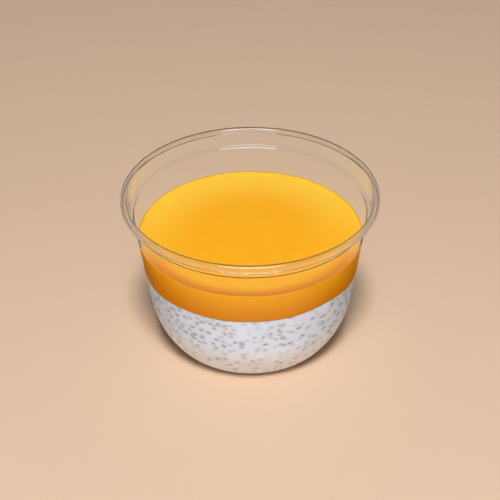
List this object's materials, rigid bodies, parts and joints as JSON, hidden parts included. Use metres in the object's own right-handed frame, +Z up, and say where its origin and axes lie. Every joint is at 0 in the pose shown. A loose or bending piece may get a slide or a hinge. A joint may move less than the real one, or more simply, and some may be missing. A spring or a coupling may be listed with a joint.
{
  "type": "chia pudding in a clear cup",
  "caption": "Chia pudding with a smooth mango puree layer on top, in a clear round plastic dessert cup with a rolled rim and a rounded bottom.",
  "frame": {"origin": "centre of the cup's foot, on the surface that it stands on", "axes": "+Z up along the cup's axis of turning, from the foot to the rim; +X and +Y are level, and -Y is the side that faces the picture's camera"},
  "size_m": [0.095, 0.095, 0.062],
  "materials": {
    "clear_plastic": "clear, glossy thermoformed plastic",
    "mango_puree": "smooth, moist fruit puree with a soft sheen",
    "chia_pudding": "milky white pudding with grey-brown seeds"
  },
  "bodies": {
    "root": {"cup": "clear_plastic", "chia_layer": "chia_pudding", "mango_layer": "mango_puree"}
  },
  "joints": []
}
